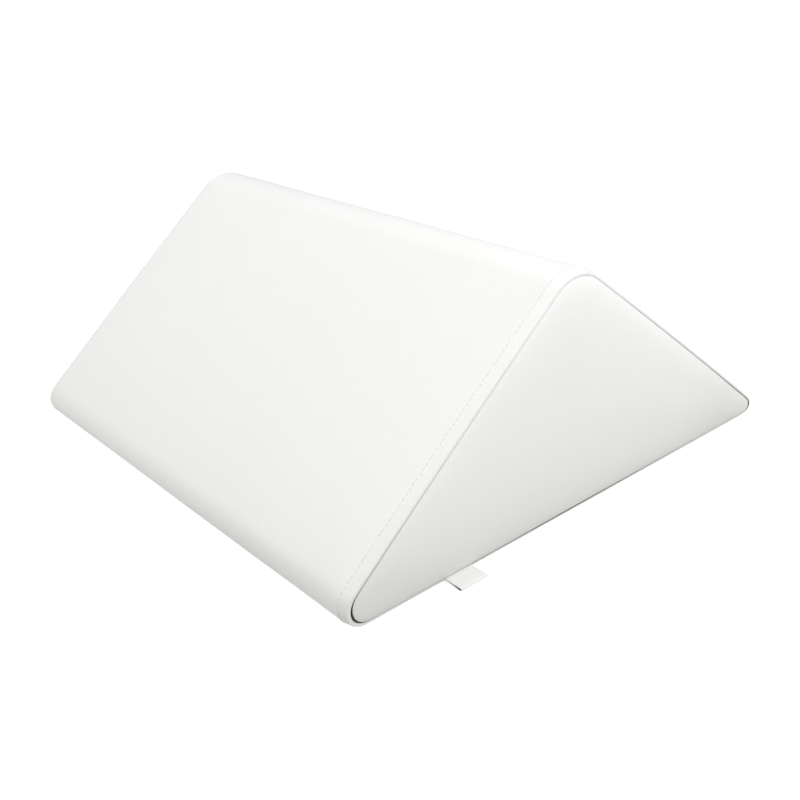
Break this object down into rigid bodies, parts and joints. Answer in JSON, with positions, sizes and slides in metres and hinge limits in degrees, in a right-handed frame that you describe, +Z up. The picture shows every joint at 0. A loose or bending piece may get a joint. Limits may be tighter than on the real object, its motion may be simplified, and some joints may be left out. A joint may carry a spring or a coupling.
{
  "type": "wedge pillow",
  "caption": "Filled triangular wedge pillow with rounded edges, set-in crowned end panels, topstitched end seams and a small folded side label.",
  "frame": {"origin": "middle of the flat base, on the surface that it rests on, halfway between the two end seams", "axes": "+X along the ridge towards the labelled end, +Y towards the long edge with the tighter rounding, +Z up to the ridge"},
  "size_m": [0.4903, 0.4498, 0.1914],
  "materials": {
    "cover": "white synthetic leather, fine grain, satin",
    "label": "white woven tape"
  },
  "bodies": {
    "root": {"filled_wedge": "cover", "end_panel_labelled": "cover", "end_panel_plain": "cover", "side_label": "label"}
  },
  "joints": []
}
